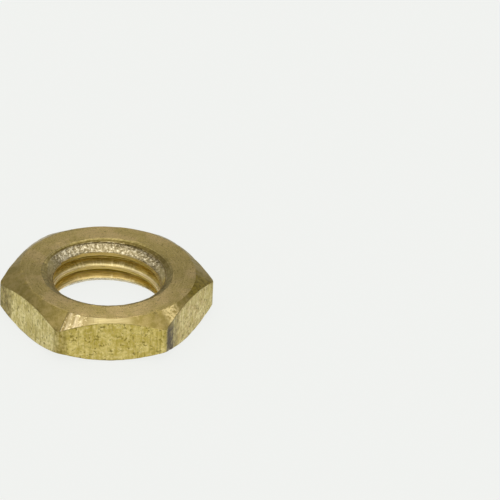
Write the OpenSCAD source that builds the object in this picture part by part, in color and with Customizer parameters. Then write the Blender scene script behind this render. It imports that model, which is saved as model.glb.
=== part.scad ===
// Thin hexagon nut of brass, turned from drawn hexagon bar.
// The origin is the centre of the lower bearing face. The thread's axis is +Z.
// Two corners of the hexagon lie on the X axis and two wrench flats face +Y and -Y.

/* [Hexagon bar] */
// Width across the wrench flats
across_flats = 12; // [11:0.5:14]
// Thickness between the two bearing faces
thickness = 3; // [2.5:0.25:5]
// Radius of the bar's six drawn corners
corner_r = 0.5; // [0.3:0.1:0.8]

/* [Outer chamfers] */
// How far the upper chamfer reaches in from the middle of a flat
upper_chamfer_inset = 0.3; // [0.1:0.05:0.5]
// How far the lower chamfer reaches in from the middle of a flat
lower_chamfer_inset = 0.1; // [0.05:0.05:0.5]
// Angle between a chamfer and its bearing face, in degrees
chamfer_angle = 32; // [25:1:40]

/* [Thread] */
// Major diameter of the right-hand metric thread
thread_d = 8; // [7:0.5:9]
// Pitch of the thread
pitch = 1; // [0.75:0.25:1]
// How much larger the tapped bore is than the basic minor diameter
bore_allowance = 0; // [0:0.01:0.2]

/* [Countersinks] */
// Width of the upper countersink's shallow rim over the thread's major diameter
upper_rim_over = 0.45; // [0.3:0.05:0.8]
// Angle between the shallow rim and the upper face, in degrees
upper_rim_angle = 24; // [20:1:30]
// How much narrower than the thread's major diameter the top of the steep wall is
upper_wall_under = 0.26; // [0.1:0.02:0.3]
// Angle between the steep wall and the upper face, in degrees
upper_wall_angle = 45; // [40:1:60]
// How much narrower than the thread's major diameter the lower countersink's mouth is
lower_mouth_under = 0.16; // [0.1:0.02:0.4]
// Angle between the lower countersink and the lower face, in degrees
lower_wall_angle = 45; // [40:1:60]

/* [Hidden] */
round_steps = 96;

// Metric thread form: 60 degree flanks and a root flat of an eighth of the pitch
flank_angle = 30;
minor_d = thread_d - 1.0825 * pitch + bore_allowance;
root_flat = pitch / 8;
groove_inner_r = minor_d / 2 - 0.2;
groove_mouth = root_flat + 2 * (thread_d / 2 - groove_inner_r) * tan(flank_angle);

// The groove crosses the X axis at this height first, and ends clear of the upper face
groove_start_z = -0.49 * pitch;
turns = ceil((thickness + groove_mouth / 2 - groove_start_z) / pitch);
steps_per_turn = 60;
groove_steps = turns * steps_per_turn;

// Outline of the drawn bar
corner_centre_r = (across_flats / 2 - corner_r) / cos(30);
corner_steps = 8;
cut_margin = 0.5;

// Point of the groove's section: k = 0 to 3 runs inner low, root low, root high, inner high
function groove_r(k) = (k == 0 || k == 3) ? groove_inner_r : thread_d / 2;
function groove_dz(k) = (k == 0) ? -groove_mouth / 2
    : (k == 1) ? -root_flat / 2
    : (k == 2) ? root_flat / 2
    : groove_mouth / 2;
function groove_point(i, k) =
    let (turn = i / steps_per_turn, a = 360 * turn)
    [groove_r(k) * cos(a), groove_r(k) * sin(a),
     groove_start_z + turn * pitch + groove_dz(k)];

// The thread's groove, swept along a right-hand helix
module thread_groove() {
    points = [for (i = [0:groove_steps]) for (k = [0:3]) groove_point(i, k)];
    last = 4 * groove_steps;
    sides = [for (i = [0:groove_steps - 1]) for (k = [0:3])
        let (a = 4 * i + k, b = 4 * i + (k + 1) % 4, c = b + 4, d = a + 4)
        each [[a, b, c], [a, c, d]]];
    ends = [[0, 3, 2], [0, 2, 1], [last, last + 1, last + 2], [last, last + 2, last + 3]];
    polyhedron(points = points, faces = concat(sides, ends), convexity = 6);
}

// The drawn bar: six flats, joined by corners that are rounded in short flat steps
module drawn_bar() {
    linear_extrude(height = thickness)
        polygon([for (i = [0:5]) for (j = [0:corner_steps])
            let (a = 60 * i, f = a - 30 + 60 * j / corner_steps)
            [corner_centre_r * cos(a) + corner_r * cos(f),
             corner_centre_r * sin(a) + corner_r * sin(f)]]);
}

// The turned shape that the bar is chamfered to on the lathe
module turned_envelope() {
    upper_r = across_flats / 2 - upper_chamfer_inset;
    lower_r = across_flats / 2 - lower_chamfer_inset;
    slope = tan(chamfer_angle);
    reach = across_flats / 2 + 2 * corner_r + 1;
    rotate_extrude($fn = round_steps)
        polygon([
            [0, 0],
            [lower_r, 0],
            [reach, (reach - lower_r) * slope],
            [reach, thickness - (reach - upper_r) * slope],
            [upper_r, thickness],
            [0, thickness]
        ]);
}

// The bore, drilled down from the upper face
module bore() {
    translate([0, 0, thickness + cut_margin])
        rotate([0, 180, 0])
            cylinder(d = minor_d, h = thickness + 2 * cut_margin, $fn = round_steps);
}

// The upper countersink: a shallow rim, then a steep wall that the thread's groove runs out through
module upper_countersink() {
    rim_r = (thread_d + upper_rim_over) / 2;
    wall_r = (thread_d - upper_wall_under) / 2;
    rim_depth = (rim_r - wall_r) * tan(upper_rim_angle);
    wall_depth = (wall_r - minor_d / 2 + cut_margin) * tan(upper_wall_angle);
    translate([0, 0, thickness])
        rotate_extrude($fn = round_steps)
            polygon([
                [0, -rim_depth - wall_depth],
                [minor_d / 2 - cut_margin, -rim_depth - wall_depth],
                [wall_r, -rim_depth],
                [rim_r, 0],
                [rim_r + cut_margin / tan(upper_rim_angle), cut_margin],
                [0, cut_margin]
            ]);
}

// The lower countersink, narrower than the thread, so that the groove runs out through its mouth
module lower_countersink() {
    mouth_r = (thread_d - lower_mouth_under) / 2;
    slope = tan(lower_wall_angle);
    translate([0, 0, -cut_margin])
        cylinder(
            r1 = mouth_r + cut_margin / slope,
            r2 = 0,
            h = cut_margin + mouth_r * slope,
            $fn = round_steps
        );
}

// The nut is one solid piece of brass
module hex_nut() {
    color([0.72, 0.6, 0.32])
    difference() {
        intersection() {
            drawn_bar();
            turned_envelope();
        }
        bore();
        thread_groove();
        upper_countersink();
        lower_countersink();
    }
}

hex_nut();
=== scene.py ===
import math

import bpy
import numpy as np
from mathutils import Matrix, Vector


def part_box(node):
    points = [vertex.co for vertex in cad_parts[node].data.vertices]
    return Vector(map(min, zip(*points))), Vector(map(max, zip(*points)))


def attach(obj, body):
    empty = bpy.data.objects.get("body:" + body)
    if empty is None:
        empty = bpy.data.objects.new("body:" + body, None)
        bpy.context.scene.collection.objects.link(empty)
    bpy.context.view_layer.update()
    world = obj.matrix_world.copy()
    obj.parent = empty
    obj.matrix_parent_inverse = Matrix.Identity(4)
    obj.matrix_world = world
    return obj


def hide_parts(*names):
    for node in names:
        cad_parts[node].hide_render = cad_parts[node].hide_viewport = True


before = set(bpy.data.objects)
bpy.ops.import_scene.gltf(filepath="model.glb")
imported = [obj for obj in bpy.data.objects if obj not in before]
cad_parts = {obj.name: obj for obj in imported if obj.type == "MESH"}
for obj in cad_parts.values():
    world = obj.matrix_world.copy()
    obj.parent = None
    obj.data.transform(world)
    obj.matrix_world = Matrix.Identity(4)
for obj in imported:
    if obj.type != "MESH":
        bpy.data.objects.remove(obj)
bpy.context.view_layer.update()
low, high = (np.array(c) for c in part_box("hex_nut"))

MM = 0.001
TAU = 2 * math.pi

# Sizes of the nut in mm. The first two come from the CAD node, the others repeat part.scad.
ACROSS_FLATS = (high[1] - low[1]) / MM
THICKNESS = (high[2] - low[2]) / MM
CORNER_R = 0.5
UPPER_FACE_R = ACROSS_FLATS / 2 - 0.3
LOWER_FACE_R = ACROSS_FLATS / 2 - 0.1
CHAMFER_SLOPE = math.tan(math.radians(32))
MAJOR_R = 4.0
PITCH = 1.0
GROOVE_START_Z = -0.49
RIM_R = 4.225
WALL_R = 3.87
RIM_SLOPE = math.tan(math.radians(24))
WALL_SLOPE = math.tan(math.radians(45))
WALL_Z = THICKNESS - (RIM_R - WALL_R) * RIM_SLOPE
LOWER_MOUTH_R = 3.92
LOWER_SLOPE = math.tan(math.radians(45))
CENTRE = Vector((0, 0, THICKNESS * MM / 2))


# ---------------------------------------------------------------- camera

def make_camera():
    """A long lens, 0.3 m from the nut, that sees it left of the middle and below it."""
    azimuth, elevation, roll = math.radians(-3.36), math.radians(31.45), math.radians(1.61)
    distance = 0.300
    aim = Vector((-0.03074, -0.00894, -1.0)).normalized()
    back = Vector((
        math.sin(azimuth) * math.cos(elevation),
        -math.cos(azimuth) * math.cos(elevation),
        math.sin(elevation),
    ))
    up = (Vector((0, 0, 1)) - back * back.z).normalized()
    right = up.cross(back)
    rolled_up = up * math.cos(roll) - right * math.sin(roll)
    rolled_right = right * math.cos(roll) + up * math.sin(roll)
    axes = Matrix((rolled_right, rolled_up, back)).transposed()
    turn = aim.rotation_difference(Vector((0, 0, -1))).to_matrix()
    data = bpy.data.cameras.new("camera")
    data.lens = 335.8
    data.sensor_width = 36.0
    data.clip_start = 0.01
    data.clip_end = 20.0
    camera = bpy.data.objects.new("camera", data)
    camera.matrix_world = Matrix.Translation(CENTRE + back * distance) @ (axes @ turn).to_4x4()
    bpy.context.scene.collection.objects.link(camera)
    bpy.context.scene.camera = camera


# ---------------------------------------------------------------- smooth random fields

def ring_noise(angle, seed, waves, fall=1.0):
    """A smooth random function of the angle, about -1 to 1, made of whole numbers of waves."""
    rng = np.random.default_rng(seed)
    total = np.zeros_like(angle)
    power = 0.0
    for n in range(waves[0], waves[1] + 1):
        size = (waves[0] / n) ** fall
        total += size * np.cos(n * angle + rng.uniform(0, TAU)) * rng.uniform(0.4, 1.0)
        power += size * size * 0.25
    return total / math.sqrt(power) * 0.5


def space_noise(points, size, seed):
    """A smooth random field in space, -1 to 1, with features of about this size."""
    table = np.random.default_rng(seed).uniform(-1, 1, (32, 32, 32))
    place = points / size + 64.0
    cell = np.floor(place).astype(int)
    part = place - cell
    part = part * part * (3 - 2 * part)
    total = np.zeros(len(points))
    for corner in np.ndindex(2, 2, 2):
        weight = np.prod(np.where(np.array(corner) == 1, part, 1 - part), axis=1)
        i, j, k = ((cell + np.array(corner)) % 32).T
        total += weight * table[i, j, k]
    return total


def window(value, start, end, soft):
    """1 between start and end, falling smoothly to 0 over soft on both sides."""
    t = np.clip(np.minimum(value - start, end - value) / soft + 0.5, 0, 1)
    return t * t * (3 - 2 * t)


def smooth_max(a, b, blend):
    """The larger of two values, rounded off where they are nearly equal."""
    h = np.clip(0.5 + 0.5 * (a - b) / blend, 0, 1)
    return b + (a - b) * h + blend * h * (1 - h)


# ---------------------------------------------------------------- the nut's mesh

COLUMNS = 640
THREAD_Z_LOW = 0.035
THREAD_Z_HIGH = THICKNESS - (RIM_R - MAJOR_R) * RIM_SLOPE
CREST_R = 3.459
CREST_LOW_Z = (LOWER_MOUTH_R - CREST_R) * LOWER_SLOPE
CREST_HIGH_Z = WALL_Z - (WALL_R - CREST_R) * WALL_SLOPE


def column_angles():
    """Angles of the mesh's columns, closer together round the six corners."""
    fine = np.linspace(0, TAU, 20001)
    off = (np.degrees(fine) + 30) % 60 - 30
    density = 1 + 2.6 * np.exp(-((off / 2.6) ** 2))
    total = np.concatenate([[0], np.cumsum((density[1:] + density[:-1]) / 2)])
    return np.interp((np.arange(COLUMNS) + 0.5) / COLUMNS * total[-1], total, fine)


def bar_radius(angle):
    """Distance from the axis to the drawn bar's surface."""
    off = (angle + math.pi / 6) % (math.pi / 3) - math.pi / 6
    flat = ACROSS_FLATS / 2 / np.cos(math.pi / 6 - np.abs(off))
    centre = (ACROSS_FLATS / 2 - CORNER_R) / math.cos(math.pi / 6)
    half_chord = np.sqrt(np.maximum(CORNER_R**2 - (centre * np.sin(off)) ** 2, 0))
    corner = centre * np.cos(off) + half_chord
    tangent = math.atan2(CORNER_R * 0.5, centre + CORNER_R * math.cos(math.pi / 6))
    return np.where(np.abs(off) < tangent, corner, flat)


def section(angle, bar, wear, deeper):
    """Corners of the outer section at one angle, from the upper countersink to the lower one.
    Each is (radius, height, fillet radius, name of the surface that follows, points on it)."""
    worn = 1 + 0.45 * wear
    face_r = UPPER_FACE_R - deeper / CHAMFER_SLOPE
    upper_z = THICKNESS - (bar - face_r) * CHAMFER_SLOPE
    lower_z = (bar - LOWER_FACE_R) * CHAMFER_SLOPE
    mouth = bore_radius(thread_level(angle, THREAD_Z_LOW), THREAD_Z_LOW)[0]
    return [
        (MAJOR_R, THREAD_Z_HIGH, 0, "rim", 3),
        (RIM_R, THICKNESS, 0.05 * worn, "face", 12),
        (face_r, THICKNESS, 0.09 * worn + deeper, "chamfer", 5),
        (bar, upper_z, 0.075 * worn, "flat", 12),
        (bar, lower_z, 0.06 * worn, "chamfer", 2),
        (LOWER_FACE_R, 0, 0.07 * worn, "face", 8),
        (mouth + THREAD_Z_LOW / LOWER_SLOPE, 0, 0.03, "sink", 1),
        (mouth, THREAD_Z_LOW, 0, "sink", 0),
    ]


FILLET_POINTS = 5
LONGEST_FILLET = 0.42  # of either side next to it
LAST_WORN_CORNER = 5  # the lower countersink's mouth isn't worn


def outer_rows(corners):
    """Radius and height of each outer row at one column, given the section's corners.
    With them go each row's surface, and how near it is to a worn edge."""
    points = [np.array(c[:2], float) for c in corners]
    rows, names, edges = [points[0]], [corners[0][3]], [0.0]
    previous = points[0]

    def add_straight(end, count, name):
        for i in range(1, count + 1):
            rows.append(previous + (end - previous) * i / (count + 1))
            names.append(name)
            edges.append(0.0)

    for j in range(1, len(corners) - 1):
        a, b, c = points[j - 1], points[j], points[j + 1]
        u, v = (a - b) / np.linalg.norm(a - b), (c - b) / np.linalg.norm(c - b)
        half = math.acos(float(np.clip(u @ v, -1, 1))) / 2
        reach = corners[j][2] / math.tan(half)
        before, after = np.linalg.norm(a - b), np.linalg.norm(c - b)
        reach = min(reach, LONGEST_FILLET * before, LONGEST_FILLET * after)
        start, end = b + u * reach, b + v * reach
        add_straight(start, corners[j - 1][4], corners[j - 1][3])
        for i in range(FILLET_POINTS):
            t = i / (FILLET_POINTS - 1)
            rows.append(start * (1 - t) ** 2 + b * 2 * t * (1 - t) + end * t**2)
            names.append(corners[j - 1][3] if t < 0.5 else corners[j][3])
            edges.append(1 - abs(2 * t - 1) ** 2 if j <= LAST_WORN_CORNER else 0.0)
        previous = end
    add_straight(points[-1], corners[-2][4], corners[-2][3])
    rows.append(points[-1])
    names.append(corners[-1][3])
    edges.append(0.0)
    return np.array(rows), names, edges


# The thread's section over one pitch, up from the groove's middle: height in pitches, and radius.
# The crest's lower edge has a small burr, and its upper edge is rolled over.
THREAD_FORM = [
    (0.0, 4.0), (0.045, 3.998), (0.068, 3.985), (0.10, 3.935), (0.16, 3.832), (0.22, 3.728),
    (0.28, 3.624), (0.335, 3.529), (0.360, 3.480), (0.374, 3.456), (0.39, 3.449), (0.41, 3.455),
    (0.46, 3.459), (0.50, 3.461), (0.535, 3.466), (0.575, 3.476), (0.615, 3.498), (0.66, 3.538),
    (0.70, 3.592), (0.76, 3.693), (0.82, 3.797), (0.88, 3.900), (0.92, 3.965), (0.95, 3.996),
]


def thread_level(angle, z):
    """Pitches up the helix from the groove's middle, at an angle and a height."""
    return (z - GROOVE_START_Z) / PITCH - angle / TAU


def thread_radius(phase):
    """Radius of the thread's surface at a phase, in pitches up from the groove's middle."""
    heights = [p for p, _ in THREAD_FORM] + [1.0]
    return np.interp(phase % 1.0, heights, [r for _, r in THREAD_FORM] + [4.0])


CLEAR_BY = 0.004  # the thread shows where it is wider than the countersinks by this, in mm
CUT_BLEND = 0.016  # how softly the cuts run into one another, in mm


def bore_radius(level, z):
    """Radius of the bore and the name of its surface there, which is the widest of the cuts."""
    groove, sink = float(thread_radius(level)), float(sink_radius(z))
    name = "thread" if groove > sink + CLEAR_BY else "rim" if z >= WALL_Z else "sink"
    return smooth_max(groove, sink, CUT_BLEND), name


def sink_radius(z):
    """Radius of the two countersinks at a height, whichever is wider."""
    rim = RIM_R - (THICKNESS - z) / RIM_SLOPE
    wall = WALL_R - (WALL_Z - z) / WALL_SLOPE
    lower = LOWER_MOUTH_R - z / LOWER_SLOPE
    return np.maximum(np.where(z > WALL_Z, rim, wall), lower)


# The upper chamfer was cut a little deeper on one side: depth in mm at each angle
DEEPER_CHAMFER = {170: 0, 186: 0.20, 212: 0.19, 234: 0.12, 262: 0}
SNAP = 0.012  # a row of the thread this near to an end of the bore, in mm, joins it


def thread_rows(angles, top, bottom, first_id):
    """The bore's points: (radius, height), angle and surface of each, and the rows of their ids.
    The rows run up the helix, and stop where they meet the top or the bottom point of a column."""
    phases = np.array([phase for phase, _ in THREAD_FORM])
    turns = int(math.ceil((THREAD_Z_HIGH - THREAD_Z_LOW) / PITCH)) + 2
    base = math.floor((THREAD_Z_LOW - GROOVE_START_Z) / PITCH) - 1
    levels = np.concatenate([base + turn + phases for turn in range(turns)])
    ids = np.zeros((COLUMNS + 1, len(levels)), int)
    profile, angle_of, names = [], [], []
    for k, angle in enumerate(angles):
        z = GROOVE_START_Z + PITCH * (levels + angle / TAU)
        # a row runs along each edge of the countersinks
        for height in (CREST_LOW_Z, CREST_HIGH_Z, WALL_Z):
            z[np.argmin(abs(z - height))] = height
        for j, height in enumerate(z):
            if height <= THREAD_Z_LOW + SNAP:
                ids[k, j] = bottom[k]
            elif height >= THREAD_Z_HIGH - SNAP:
                ids[k, j] = top[k]
            else:
                ids[k, j] = first_id + len(names)
                radius, name = bore_radius(thread_level(angle, height), height)
                profile.append((radius, height))
                angle_of.append(angle)
                names.append(name)
    # the column after the last is the first one, a pitch further along
    further = np.arange(len(levels)) + len(phases)
    last = len(levels) - 1
    ids[COLUMNS] = np.where(further <= last, ids[0, np.minimum(further, last)], top[0])
    return np.array(profile), np.array(angle_of), names, ids


def faces_between(here, there):
    """Faces between two columns of points: four-sided, or triangles where two points are one."""
    faces = []
    for j in range(len(here) - 1):
        face = [here[j], here[j + 1], there[j + 1], there[j]]
        face = [point for i, point in enumerate(face) if point != face[i - 1]]
        if len(face) >= 3 and len(set(face)) == len(face):
            faces.append(tuple(face))
    return faces


def build_nut():
    """Radius and height, angle, surface and edge wear of each point of the mesh, and its faces."""
    angles = column_angles()
    wear = np.clip(ring_noise(angles, 11, (3, 40), 0.5), -1.2, 1.8)
    deeper = np.interp(np.degrees(angles), list(DEEPER_CHAMFER), list(DEEPER_CHAMFER.values()))
    columns = zip(angles, bar_radius(angles), wear, deeper)
    per_column = [outer_rows(section(*column)) for column in columns]
    names, edges = per_column[0][1:]
    outer = np.array([column[0] for column in per_column])  # column, row, (radius, height)
    rows = outer.shape[1]
    outer_id = np.arange(COLUMNS * rows).reshape(COLUMNS, rows)
    top, bottom = outer_id[:, 0], outer_id[:, -1]
    bore, bore_angles, bore_names, bore_id = thread_rows(angles, top, bottom, outer_id.size)

    profile = np.concatenate([outer.reshape(-1, 2), bore])
    angle = np.concatenate([np.repeat(angles, rows), bore_angles])
    zones = np.array(names * COLUMNS + bore_names)
    edge = np.array(edges * COLUMNS + [0.0] * len(bore))
    faces = []
    for k in range(COLUMNS):
        faces += faces_between(outer_id[k], outer_id[(k + 1) % COLUMNS])
        faces += faces_between(bore_id[k], bore_id[k + 1])
    return profile, angle, zones, edge, faces


SURFACES = ("face", "chamfer", "flat", "rim", "sink", "thread")

# Where the surface is lighter or darker round the nut: start and end angle, softness, amount
TARNISHED_CORNERS = [
    (-3, 3, 1.5, 0.35), (57, 64, 2, 0.5), (115, 123, 2, 0.45),
    (177, 192, 4, 0.85), (237.5, 245, 2.5, 0.58), (298.6, 301.6, 1, 0.10),
]
STAINED_FLAT = [(301.6, 308.5, 1.2, 0.60), (301.6, 313.5, 5, 0.40), (118, 123, 2, 0.3)]
# Burnished stretches of the upper chamfer: lower in roughness, and their bright colour is partly a
# painted highlight
BURNISHED_HIGHLIGHT_CHAMFER = [
    (241.4, 262, 0.8, 1.0), (64, 80, 3, 0.5), (128, 150, 4, 0.6),
]
# A painted highlight: a golden patch where the upper chamfer catches the light
PAINTED_HIGHLIGHT_CHAMFER = [(305, 316.5, 4, 1.0)]
# A smooth stretch of the upper chamfer: lower in roughness, and its even bright colour is a
# painted sheen
SMOOTH_SHEEN_CHAMFER = [(256, 281, 13, 1.0)]
DARK_BROW = [(242, 288, 6, 0.9), (302, 350, 6, 0.5)]
# At the back the thread's colours are painted light: lighter crest and lower turn, darker roots,
# for how the light falls there
BACK_OF_THREAD = [(58, 124, 26, 1.0)]
DARK_CHAMFER = [(331, 359, 9, 0.85), (92, 118, 10, 0.6)]
# Where the rim is darker, most at the back
DARKER_RIM = [(15, 150, 30, 0.85), (-50, 15, 25, 0.40), (150, 230, 25, 0.25)]
# A painted highlight along the bore's upper edge at the back
PAINTED_LIP_HIGHLIGHT = [(62, 165, 25, 1.0)]
# Where the steep wall is shinier and its chatter marks get painted glints
WALL_SHINE_AND_GLINT = [(22, 152, 34, 1.0), (116, 148, 14, 0.5), (28, 42, 10, 0.3)]
SILVER_SHELF = [(4, 176, 10, 1.0)]
YELLOW_FLAT = [(241, 301.5, 2, 1.0)]
WARM_FLAT = [(310, 350, 8, 1.0)]
# How much lighter the faces and the upper chamfer are at each angle
FACE_TONE = {
    0: -0.04, 45: 0.11, 90: 0.19, 135: 0.13, 180: -0.08,
    225: 0.06, 262: 0.48, 285: 0.46, 315: 0.16, 345: -0.01,
}
# On the upper chamfer the tone is painted light: it makes the cone lighter or darker at each angle
# for how the light falls on it
CHAMFER_PAINTED_LIGHT = {
    0: 0.10, 12: 0.18, 40: 0.05, 150: 0.05, 180: 0.16,
    205: 0.06, 222: -0.10, 241: -0.12, 243: 0, 340: 0,
}
SHELF_LEVEL = 2.61  # this many pitches up the helix, the thread turns as silvery as the wall
BROW_R = UPPER_FACE_R + 0.15  # worn edges beyond this radius are the ones above the flats
LIP_R = RIM_R + 0.2  # and worn edges within this radius are the bore's upper edge


def round_mask(degrees, stretches):
    """Sum of the stretches' amounts at each angle."""
    total = np.zeros(len(degrees))
    for start, end, soft, amount in stretches:
        middle, half = (start + end) / 2, (end - start) / 2
        off = (degrees - middle + 180) % 360 - 180
        total += amount * window(off, -half, half, soft)
    return total


# How far each kind of roughness moves the surface, and how far it may move at all, in mm
CHATTER = 0.011
DRAWN_STREAKS = 0.006
TURNING_MARKS = 0.004
THREAD_MARKS = 0.007
EDGE_WEAR = 0.007
DEEPEST = 0.06
HIGHEST = 0.012


def round_tone(degrees, tones):
    """The tone at each angle, between the angles that are given."""
    return np.interp(degrees, list(tones), list(tones.values()), period=360)


def roughen(points, normals, zones, edge):
    """Moves the surface in and out by hundredths of a mm: tool chatter, dents and worn edges."""
    rng = np.random.default_rng(5)
    bore = np.isin(zones, ("sink", "rim"))
    chatter = space_noise(points * (1, 1, 1.7), 0.17, 1) + 0.5 * space_noise(points, 0.09, 2)
    move = CHATTER * chatter * bore
    move += DRAWN_STREAKS * space_noise(points * (1, 1, 0.25), 0.35, 3) * (zones == "flat")
    move += TURNING_MARKS * space_noise(points, 0.30, 4) * np.isin(zones, ("face", "chamfer"))
    move += THREAD_MARKS * space_noise(points, 0.22, 6) * (zones == "thread")
    move += EDGE_WEAR * space_noise(points, 0.45, 7) * edge
    on_edge = np.flatnonzero(edge > 0.9)
    elsewhere = np.flatnonzero(np.isin(zones, ("face", "flat", "chamfer")))

    def draw_dents(count, places, widths, depths):
        """The middle, width and depth of each dent."""
        return [
            (rng.choice(places), rng.uniform(*widths), rng.uniform(*depths))
            for _ in range(count)
        ]

    dents = draw_dents(90, on_edge, (0.10, 0.28), (0.010, 0.028))
    dents += draw_dents(70, elsewhere, (0.12, 0.30), (0.005, 0.016))
    for middle, width, depth in dents:
        away = np.sum((points - points[middle]) ** 2, axis=1)
        near = away < (2.5 * width) ** 2
        move[near] -= depth * np.exp(-away[near] / width**2)
    return points + normals * np.clip(move, -DEEPEST, HIGHEST)[:, None]


def keep_inside(points):
    """Holds the worn surface within the bar's flats and the two bearing faces."""
    for i in range(6):
        facing = math.radians(30 + 60 * i)
        way = np.array((math.cos(facing), math.sin(facing), 0))
        over = np.maximum(points @ way - ACROSS_FLATS / 2, 0)
        points = points - over[:, None] * way
    points[:, 2] = np.clip(points[:, 2], 0, THICKNESS)
    return points


def make_mesh():
    """The nut's mesh, with an attribute for each surface and each kind of mark on it."""
    profile, angle, zones, edge, faces = build_nut()
    r, z = profile[:, 0], profile[:, 1]
    points = np.column_stack([r * np.cos(angle), r * np.sin(angle), z])
    mesh = bpy.data.meshes.new("hex_nut_visual")
    mesh.from_pydata([tuple(v) for v in points], [], [tuple(int(i) for i in f) for f in faces])
    mesh.validate()
    normals = np.zeros(len(points) * 3, np.float32)
    mesh.vertex_normals.foreach_get("vector", normals)
    points = keep_inside(roughen(points, normals.reshape(-1, 3).astype(float), zones, edge))
    mesh.vertices.foreach_set("co", (points * MM).astype(np.float32).ravel())

    degrees = np.degrees(angle) % 360
    shelf = (zones == "thread") & (thread_level(angle, z) > SHELF_LEVEL)
    chamfer, flat, rim = zones == "chamfer", zones == "flat", zones == "rim"
    upper = z > THICKNESS / 2
    tone = np.where(chamfer, round_tone(degrees, CHAMFER_PAINTED_LIGHT), round_tone(degrees, FACE_TONE))
    values = {"zone_" + name: zones == name for name in SURFACES}
    values["zone_sink"] = (zones == "sink") + shelf * round_mask(degrees, SILVER_SHELF)
    values["tone"] = tone * upper
    values["corner"] = flat * round_mask(degrees, TARNISHED_CORNERS)
    values["stain"] = flat * round_mask(degrees, STAINED_FLAT)
    values["yellow"] = flat * round_mask(degrees, YELLOW_FLAT)
    values["warm"] = flat * round_mask(degrees, WARM_FLAT)
    # the burnished stretches: lower roughness, and a bright colour that is partly a painted
    # highlight
    values["burnish_and_highlight"] = chamfer * upper * round_mask(degrees, BURNISHED_HIGHLIGHT_CHAMFER)
    # a golden patch painted as a highlight where the chamfer catches the light
    values["painted_highlight"] = chamfer * upper * round_mask(degrees, PAINTED_HIGHLIGHT_CHAMFER)
    # a smooth stretch: lower roughness, and an even bright colour that is a painted sheen
    values["smooth"] = chamfer * upper * round_mask(degrees, SMOOTH_SHEEN_CHAMFER)
    values["brow"] = edge * upper * (r > BROW_R) * round_mask(degrees, DARK_BROW)
    # where the thread's colours are painted for how the light falls at the back
    values["back"] = round_mask(degrees, BACK_OF_THREAD)
    values["dark_chamfer"] = chamfer * upper * round_mask(degrees, DARK_CHAMFER)
    values["rim_dark"] = rim * round_mask(degrees, DARKER_RIM)
    # a painted highlight along the bore's upper edge at the back
    values["lip_highlight"] = edge * upper * (r < LIP_R) * round_mask(degrees, PAINTED_LIP_HIGHLIGHT)
    # the wall's lower roughness and its painted glints, with some on the lower countersink too
    shine_and_painted_glint = round_mask(degrees, WALL_SHINE_AND_GLINT)
    values["shine_and_painted_glint"] = np.where(upper, 0.25 + 0.75 * shine_and_painted_glint, 0.4 + 0.4 * shine_and_painted_glint)
    for name, value in values.items():
        attribute = mesh.attributes.new(name, "FLOAT", "POINT")
        attribute.data.foreach_set("value", np.asarray(value, np.float32))
    mesh.shade_smooth()
    mesh.update()
    nut = bpy.data.objects.new("hex_nut_visual", mesh)
    bpy.context.scene.collection.objects.link(nut)
    return nut


# ---------------------------------------------------------------- node helpers

class Nodes:
    """Short ways to add shader nodes. A value is a number, a colour or another node's output."""

    def __init__(self, tree):
        self.tree = tree
        tree.nodes.clear()

    def add(self, kind, **settings):
        node = self.tree.nodes.new(kind)
        for key, value in settings.items():
            setattr(node, key, value)
        return node

    def put(self, socket, value):
        if isinstance(value, bpy.types.NodeSocket):
            self.tree.links.new(value, socket)
        elif isinstance(value, tuple) and len(value) == 3 and socket.type == "RGBA":
            socket.default_value = (*value, 1.0)
        else:
            socket.default_value = value

    def math(self, operation, a, b=0.0, c=0.0, clamp=False):
        node = self.add("ShaderNodeMath", operation=operation, use_clamp=clamp)
        for socket, value in zip(node.inputs, (a, b, c)):
            self.put(socket, value)
        return node.outputs[0]

    def plus(self, a, b, clamp=False):
        return self.math("ADD", a, b, clamp=clamp)

    def times(self, *values):
        product = values[0]
        for value in values[1:]:
            product = self.math("MULTIPLY", product, value)
        return product

    def rest(self, value):
        return self.math("SUBTRACT", 1.0, value)

    def join(self, x, y, z):
        node = self.add("ShaderNodeCombineXYZ")
        for socket, value in zip(node.inputs, (x, y, z)):
            self.put(socket, value)
        return node.outputs[0]

    def split(self, vector):
        node = self.add("ShaderNodeSeparateXYZ")
        self.put(node.inputs[0], vector)
        return node.outputs

    def stretch(self, vector, x, y, z):
        node = self.add("ShaderNodeVectorMath", operation="MULTIPLY")
        self.put(node.inputs[0], vector)
        node.inputs[1].default_value = (x, y, z)
        return node.outputs[0]

    def noise(self, vector, scale, detail, roughness):
        node = self.add("ShaderNodeTexNoise")
        self.put(node.inputs["Vector"], vector)
        node.inputs["Scale"].default_value = scale
        node.inputs["Detail"].default_value = detail
        node.inputs["Roughness"].default_value = roughness
        return node.outputs["Fac"]

    def ramp(self, value, start, end, low=0.0, high=1.0):
        node = self.add("ShaderNodeMapRange", interpolation_type="SMOOTHSTEP")
        names = ("Value", "From Min", "From Max", "To Min", "To Max")
        for name, v in zip(names, (value, start, end, low, high)):
            self.put(node.inputs[name], v)
        return node.outputs[0]

    def blend(self, factor, a, b):
        node = self.add("ShaderNodeMix", data_type="RGBA")
        for index, value in ((0, factor), (6, a), (7, b)):
            self.put(node.inputs[index], value)
        return node.outputs[2]

    def lerp(self, factor, a, b):
        node = self.add("ShaderNodeMix", data_type="FLOAT")
        for index, value in ((0, factor), (2, a), (3, b)):
            self.put(node.inputs[index], value)
        return node.outputs[0]

    def scale(self, vector, factor):
        node = self.add("ShaderNodeVectorMath", operation="SCALE")
        self.put(node.inputs[0], vector)
        self.put(node.inputs["Scale"], factor)
        return node.outputs[0]

    def mask(self, name):
        return self.add("ShaderNodeAttribute", attribute_name=name).outputs["Fac"]


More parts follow.
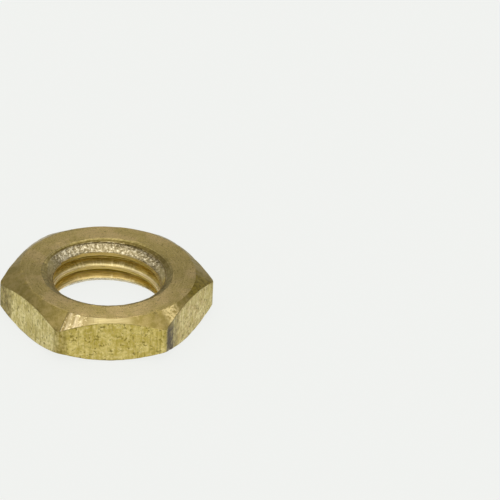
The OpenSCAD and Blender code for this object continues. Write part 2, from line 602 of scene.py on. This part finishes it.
class Brass:
    """The place on the nut, in mm, and the noises that the brass surfaces share."""

    def __init__(self, n):
        self.place = n.stretch(n.add("ShaderNodeTexCoord").outputs["Object"], 1000, 1000, 1000)
        x, y, self.z = n.split(self.place)
        self.radius = n.math("SQRT", n.plus(n.times(x, x), n.times(y, y)))
        cosine, sine = n.math("DIVIDE", x, self.radius), n.math("DIVIDE", y, self.radius)
        turn = n.math("DIVIDE", n.math("ARCTAN2", y, x), TAU)
        rise = n.math("SUBTRACT", self.z, GROOVE_START_Z)
        self.phase = n.math("FRACT", n.math("SUBTRACT", rise, turn))
        self.blotch = n.noise(self.place, 0.55, 3, 0.55)
        self.patch = n.noise(self.place, 1.15, 2, 0.55)
        self.mottle = n.noise(self.place, 2.4, 3, 0.6)
        self.speck = n.noise(self.place, 5.0, 2, 0.6)
        self.grit = n.noise(self.place, 15, 2, 0.6)
        self.dust = n.noise(self.place, 10, 1, 0.5)

        def polar(radial, around, along, detail=3):
            """Noise stretched along the turning marks, or across them."""
            across = n.math("MULTIPLY_ADD", self.radius, radial, n.times(self.z, along))
            place = n.join(across, n.times(cosine, around), n.times(sine, around))
            return n.noise(place, 1, detail, 0.62)

        self.rings = polar(13, 4, 0)
        self.bars = polar(0.6, 24, 0)
        self.dashes = polar(0, 23, 12, 2)
        self.swirl = polar(5, 7, 5)
        self.grooves = polar(10, 5, 14, 2)
        self.drawn = n.noise(n.stretch(self.place, 6.5, 6.5, 0.7), 1, 3, 0.65)
        self.scratches = n.noise(n.stretch(self.place, 9, 9, 0.6), 1, 2, 0.5)
        self.flecks = n.noise(n.stretch(self.place, 5.2, 5.2, 4.6), 1, 2, 0.6)
        self.ticks = n.noise(n.stretch(self.place, 3.6, 3.6, 8.5), 1, 2, 0.6)


def face_colour(n, b):
    """Turned faces: brown and dull, greener or redder in places, with small dark specks."""
    face = n.blend(n.ramp(b.blotch, 0.40, 0.60), (0.400, 0.306, 0.085), (0.52, 0.383, 0.156))
    face = n.blend(n.ramp(b.rings, 0.42, 0.70, 0, 0.50), face, (0.60, 0.475, 0.21))
    face = n.blend(n.ramp(b.mottle, 0.54, 0.70, 0, 0.45), face, (0.32, 0.245, 0.065))
    face = n.blend(n.ramp(b.grit, 0.45, 0.72, 0, 0.42), face, (0.66, 0.54, 0.29))
    face = n.blend(n.ramp(b.grit, 0.36, 0.50, 0.34, 0), face, (0.26, 0.20, 0.055))
    face = n.blend(n.ramp(b.speck, 0.60, 0.69, 0, 0.60), face, (0.17, 0.13, 0.03))
    face = n.blend(n.ramp(b.dust, 0.60, 0.68, 0, 0.50), face, (0.15, 0.115, 0.025))
    return n.scale(face, n.plus(n.mask("tone"), 1.0))


def flat_colour(n, b):
    """Drawn flats: yellower, blotchy, with faint streaks along the bar and groups of flecks."""
    tone = n.plus(n.times(b.drawn, 0.45), n.times(b.patch, 0.55))
    pale = n.blend(n.ramp(tone, 0.38, 0.62), (0.54, 0.44, 0.138), (0.80, 0.695, 0.325))
    yellow = n.blend(n.ramp(tone, 0.38, 0.62), (0.50, 0.385, 0.076), (0.75, 0.61, 0.215))
    flat = n.blend(n.mask("yellow"), pale, yellow)
    warm = n.times(n.mask("warm"), n.ramp(b.mottle, 0.40, 0.60, 0.1, 0.9))
    flat = n.blend(warm, flat, (0.53, 0.39, 0.145))
    flat = n.blend(n.ramp(b.grit, 0.50, 0.72, 0, 0.35), flat, (0.84, 0.76, 0.42))
    flat = n.blend(n.ramp(b.speck, 0.56, 0.40, 0, 0.40), flat, (0.40, 0.335, 0.065))
    flat = n.blend(n.ramp(b.speck, 0.52, 0.66, 0, 0.35), flat, (0.86, 0.74, 0.38))
    crowd = n.ramp(b.mottle, 0.42, 0.58)
    flecks = n.times(n.ramp(b.flecks, 0.54, 0.64, 0, 0.85), crowd)
    flat = n.blend(flecks, flat, (0.21, 0.165, 0.03))
    ticks = n.times(n.ramp(b.ticks, 0.57, 0.67, 0, 0.6), n.ramp(b.patch, 0.48, 0.60))
    flat = n.blend(ticks, flat, (0.25, 0.20, 0.04))
    scratches = n.times(n.ramp(b.scratches, 0.55, 0.66, 0, 0.65), n.ramp(b.blotch, 0.56, 0.42))
    flat = n.blend(scratches, flat, (0.28, 0.22, 0.045))
    flat = n.blend(n.ramp(b.dust, 0.60, 0.70, 0, 0.45), flat, (0.22, 0.175, 0.035))
    dull = n.times(n.mask("corner"), n.ramp(b.mottle, 0.30, 0.60, 0.65, 1.1))
    tarnish = n.blend(n.ramp(b.speck, 0.4, 0.6), (0.17, 0.13, 0.030), (0.36, 0.275, 0.085))
    flat = n.blend(dull, flat, tarnish)
    stain = n.times(n.mask("stain"), n.ramp(b.mottle, 0.34, 0.60, 0.62, 1.05))
    flat = n.blend(stain, flat, (0.084, 0.059, 0.026))
    # painted contact shadow: the lower edge is dark where the nut meets the floor
    return n.blend(n.ramp(b.z, 0.04, 0.17, 0.8, 0), flat, (0.14, 0.115, 0.05))


def chamfer_colour(n, b):
    """Turned chamfers: dull like the faces, with burnished stretches crossed by chatter whose
    bright colour is partly a painted highlight, a golden patch that is a painted highlight, and a
    painted sheen on a smooth stretch.
    """
    dull = n.blend(n.ramp(b.mottle, 0.35, 0.65), (0.275, 0.213, 0.056), (0.375, 0.287, 0.100))
    dull = n.blend(n.ramp(b.grit, 0.45, 0.75, 0, 0.35), dull, (0.54, 0.43, 0.18))
    dark = n.blend(n.ramp(b.speck, 0.4, 0.6), (0.185, 0.138, 0.014), (0.33, 0.248, 0.034))
    dull = n.blend(n.mask("dark_chamfer"), dull, dark)
    # painted light: the chamfer is made lighter or darker at each angle for how the light falls on
    # it
    dull = n.scale(dull, n.plus(n.mask("tone"), 1.0))
    # painted highlight: a golden, speckled patch where the chamfer catches the light
    painted_highlight = n.blend(n.ramp(b.speck, 0.38, 0.60), (0.38, 0.285, 0.085), (0.85, 0.69, 0.32))
    painted_highlight = n.blend(n.ramp(b.dust, 0.55, 0.66, 0, 0.5), painted_highlight, (0.22, 0.16, 0.04))
    dull = n.blend(n.mask("painted_highlight"), dull, painted_highlight)
    # burnished stretches: their bright colour and light specks are partly a painted highlight
    bright = n.blend(n.ramp(b.bars, 0.38, 0.52), (0.32, 0.235, 0.090), (0.44, 0.345, 0.155))
    bright = n.blend(n.ramp(b.bars, 0.50, 0.66), bright, (0.63, 0.51, 0.29))
    bright = n.blend(n.ramp(b.speck, 0.56, 0.66, 0, 0.8), bright, (0.90, 0.76, 0.42))
    # painted sheen: the smooth stretch gets an even bright colour
    smooth = n.blend(n.ramp(b.rings, 0.35, 0.65), (0.40, 0.315, 0.135), (0.56, 0.465, 0.22))
    return n.blend(n.mask("smooth"), n.blend(n.mask("burnish_and_highlight"), dull, bright), smooth)


def rim_colour(n, b):
    """The countersink's shallow rim: olive, and darker at the back."""
    rim = n.blend(n.ramp(b.dashes, 0.35, 0.65), (0.33, 0.265, 0.085), (0.56, 0.45, 0.180))
    line = n.ramp(b.radius, 4.12, 4.19, 0, 0.5)
    rim = n.blend(n.times(line, n.rest(n.mask("back"))), rim, (0.19, 0.145, 0.045))
    inner = n.ramp(b.radius, 4.08, 4.15, 1.0, 0.20)
    # the rim is darker towards its inner edge at the back
    rim_dark = n.times(n.mask("rim_dark"), inner, n.ramp(b.swirl, 0.32, 0.56, 0.80, 1.0))
    return n.blend(rim_dark, rim, (0.11, 0.078, 0.016))


def sink_colour(n, b):
    """The steep wall: a dull grey olive at the sides, and chatter marks at the back with painted
    glints on them.
    """
    dull = n.blend(n.ramp(b.swirl, 0.35, 0.65), (0.44, 0.36, 0.145), (0.68, 0.57, 0.27))
    # painted glints on the chatter marks
    glint = n.ramp(n.mask("shine_and_painted_glint"), 1.0, 1.6, 0.0, 0.16)
    dashes = n.plus(b.dashes, glint)
    bright = n.blend(n.ramp(dashes, 0.36, 0.56), (0.21, 0.165, 0.075), (0.46, 0.385, 0.225))
    bright = n.blend(n.ramp(dashes, 0.54, 0.70), bright, (0.88, 0.79, 0.55))
    wall = n.blend(n.mask("shine_and_painted_glint"), dull, bright)
    # the lower countersink is painted lighter, a painted reflection of the bright floor
    return n.scale(wall, n.ramp(b.z, 0.6, 1.2, 1.35, 1.0))


def thread_colour(n, b):
    """The thread: yellow, with painted shade in the dark brown roots and a painted highlight on
    the crest's rolled upper edge; at the back its colours are painted lighter or darker for how
    the light falls there.
    """
    back = n.mask("back")
    outer = n.blend(n.ramp(b.swirl, 0.35, 0.65), (0.56, 0.425, 0.100), (0.90, 0.71, 0.240))
    inner = n.blend(back, (0.50, 0.385, 0.120), (0.53, 0.435, 0.190))
    # painted light: at the back the lower turn is painted lighter
    lower = n.times(n.ramp(b.z, 1.3, 1.0), back)
    outer = n.blend(lower, outer, (1.0, 0.80, 0.36))
    inner = n.blend(lower, inner, (0.82, 0.65, 0.28))
    # painted light: the flank is paler towards the root and darker towards the crest, evening out
    # its shading
    start = n.lerp(back, 0.68, 0.76)
    thread = n.blend(n.ramp(b.phase, start, n.plus(start, 0.12)), inner, outer)
    # painted shade: the roots are painted dark brown, darkest at the back
    edge = n.lerp(lower, 0.915, 0.883)
    root = n.ramp(b.phase, edge, n.plus(edge, 0.07))
    root = n.plus(root, n.ramp(b.phase, 0.06, 0.40, 1, 0), clamp=True)
    thread = n.blend(root, thread, n.blend(back, (0.35, 0.245, 0.026), (0.19, 0.130, 0.004)))
    # painted reflection: the crest is painted lighter at the back
    crest = n.times(n.ramp(b.phase, 0.36, 0.42), n.ramp(b.phase, 0.60, 0.64, 1, 0))
    thread = n.blend(crest, thread, n.blend(back, (0.40, 0.29, 0.060), (0.60, 0.45, 0.14)))
    # fine lines run along the thread, and chatter marks cross it at the back, painted bright as
    # glints
    thread = n.scale(thread, n.ramp(b.grooves, 0.36, 0.64, 0.80, 1.16))
    flank = n.times(n.ramp(b.phase, 0.55, 0.66), n.ramp(b.phase, 0.90, 0.82))
    chatter = n.times(n.ramp(b.bars, 0.50, 0.62, 0, 0.55), n.ramp(b.z, 2.15, 2.0))
    thread = n.blend(n.times(back, flank, chatter), thread, (1.0, 0.86, 0.50))
    # painted highlight on the crest's rolled upper edge, fainter at the back and higher up
    rolled = n.times(n.ramp(b.phase, 0.505, 0.54), n.ramp(b.phase, 0.65, 0.71, 1, 0))
    rolled = n.times(rolled, n.ramp(b.z, 1.9, 2.15, 1.0, 0.3))
    return n.blend(n.times(rolled, n.lerp(back, 1.0, 0.25)), thread, (1.0, 0.84, 0.47))


BUMP_DEPTH = 0.04 * MM


def brass_material():
    """Brass whose colour, shine and small marks differ from surface to surface."""
    material = bpy.data.materials.new("brass")
    material.use_nodes = True
    n = Nodes(material.node_tree)
    b = Brass(n)
    zone = {name: n.mask("zone_" + name) for name in SURFACES}
    colour = face_colour(n, b)
    others = {
        "flat": flat_colour, "chamfer": chamfer_colour, "rim": rim_colour,
        "thread": thread_colour, "sink": sink_colour,
    }
    for name, make in others.items():
        colour = n.blend(zone[name], colour, make(n, b))
    # painted highlight along the bore's upper edge at the back
    colour = n.blend(n.times(n.mask("lip_highlight"), 0.8), colour, (0.80, 0.67, 0.36))
    colour = n.blend(n.times(n.mask("brow"), 0.7), colour, (0.16, 0.125, 0.03))

    turned = n.ramp(b.rings, 0.3, 0.7, 0.34, 0.46)
    drawn = n.ramp(b.drawn, 0.3, 0.7, 0.46, 0.36)
    shine = n.times(zone["sink"], n.mask("shine_and_painted_glint"))
    polished = n.math("MAXIMUM", n.mask("burnish_and_highlight"), n.mask("smooth"))
    bright = n.plus(n.times(polished, 0.7), shine, clamp=True)
    rough = n.lerp(bright, n.lerp(zone["flat"], turned, drawn), 0.30)

    height = n.times(b.grit, 0.35)
    marks = [
        (b.rings, 0.8, zone["face"]), (b.drawn, 1.0, zone["flat"]), (b.flecks, -1.0, zone["flat"]),
        (b.bars, 1.6, n.mask("burnish_and_highlight")), (b.dashes, 1.8, shine), (b.swirl, 0.8, zone["rim"]),
    ]
    for mark, size, where in marks:
        height = n.plus(height, n.times(mark, size, where))
    bump = n.add("ShaderNodeBump")
    n.put(bump.inputs["Height"], height)
    bump.inputs["Strength"].default_value = 0.6
    bump.inputs["Distance"].default_value = BUMP_DEPTH

    shader = n.add("ShaderNodeBsdfPrincipled")
    n.put(shader.inputs["Base Color"], colour)
    shader.inputs["Metallic"].default_value = 1.0
    n.put(shader.inputs["Roughness"], rough)
    n.put(shader.inputs["Normal"], bump.outputs[0])
    output = n.add("ShaderNodeOutputMaterial")
    n.put(output.inputs["Surface"], shader.outputs[0])
    return material


# ---------------------------------------------------------------- floor and light

def make_floor():
    """A pale, evenly lit sheet, which glows a little like a light table."""
    half = 3.0
    z = -0.01 * MM  # a hair below the nut's lower face, so that the two don't coincide
    mesh = bpy.data.meshes.new("floor")
    corners = [(-half, -half, z), (half, -half, z), (half, half, z), (-half, half, z)]
    mesh.from_pydata(corners, [], [(0, 1, 2, 3)])
    floor = bpy.data.objects.new("floor", mesh)
    bpy.context.scene.collection.objects.link(floor)
    material = bpy.data.materials.new("floor_sheet")
    material.use_nodes = True
    n = Nodes(material.node_tree)
    shader = n.add("ShaderNodeBsdfPrincipled")
    shader.inputs["Base Color"].default_value = (0.07, 0.07, 0.07, 1)
    shader.inputs["Roughness"].default_value = 0.9
    shader.inputs["Specular IOR Level"].default_value = 0.0
    shader.inputs["Emission Color"].default_value = (0.985, 1.0, 0.975, 1)
    shader.inputs["Emission Strength"].default_value = 0.82
    output = n.add("ShaderNodeOutputMaterial")
    n.put(output.inputs["Surface"], shader.outputs[0])
    floor.data.materials.append(material)


def make_light():
    """Even studio light, brighter from high up and from a soft box above the front."""
    world = bpy.data.worlds.new("studio")
    bpy.context.scene.world = world
    world.use_nodes = True
    n = Nodes(world.node_tree)
    way = n.add("ShaderNodeTexCoord").outputs["Generated"]
    x, y, z = n.split(way)
    level = n.ramp(z, 0.62, 0.97, 0.42, 1.5)
    front = n.plus(n.times(y, -0.80), n.times(z, 0.60))
    level = n.plus(level, n.ramp(front, 0.6, 1.0, 0.0, 0.9))
    back = n.add("ShaderNodeBackground")
    back.inputs["Color"].default_value = (1.0, 0.99, 0.97, 1)
    n.put(back.inputs["Strength"], level)
    output = n.add("ShaderNodeOutputWorld")
    n.put(output.inputs["Surface"], back.outputs[0])


make_camera()
nut = make_mesh()
nut.data.materials.append(brass_material())
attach(nut, "root")
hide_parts("hex_nut")
make_floor()
make_light()
bpy.context.scene.view_settings.view_transform = "Standard"
